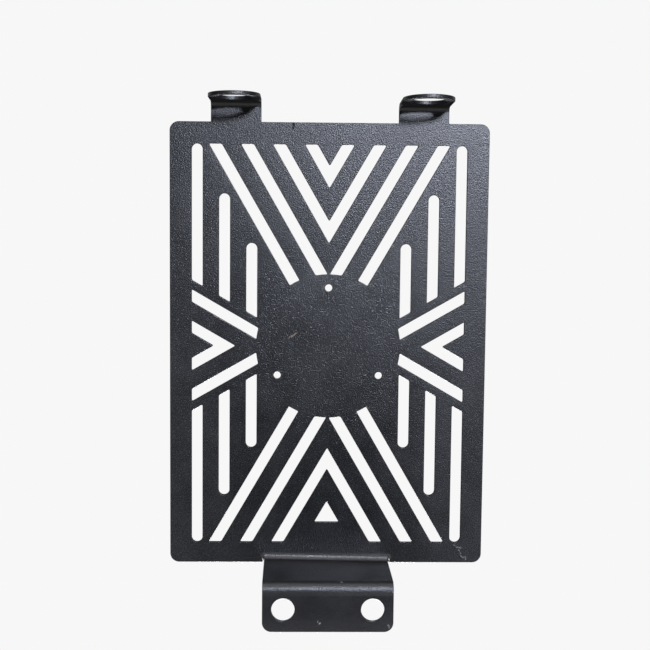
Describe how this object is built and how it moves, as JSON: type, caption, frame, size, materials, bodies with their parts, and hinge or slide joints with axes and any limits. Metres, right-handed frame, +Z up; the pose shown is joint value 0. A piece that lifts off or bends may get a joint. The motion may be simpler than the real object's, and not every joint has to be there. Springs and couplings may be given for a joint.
{
  "type": "motorcycle radiator guard",
  "caption": "Folded sheet-steel radiator guard: an upright face with a laser-cut slot pattern round a plain disc, round eye tabs at the top and a stepped flange at the bottom.",
  "frame": {"origin": "centre of the plain disc and of the badge hole circle, on the front surface of the face", "axes": "+Z up along the face, -Y to the front, where the eyes and the bottom flange reach, +X to the right seen from the front"},
  "size_m": [0.175, 0.042, 0.2835],
  "materials": {
    "powder_coat": "satin fine-textured black powder coat"
  },
  "bodies": {
    "root": {"guard_plate": "powder_coat"}
  },
  "joints": []
}
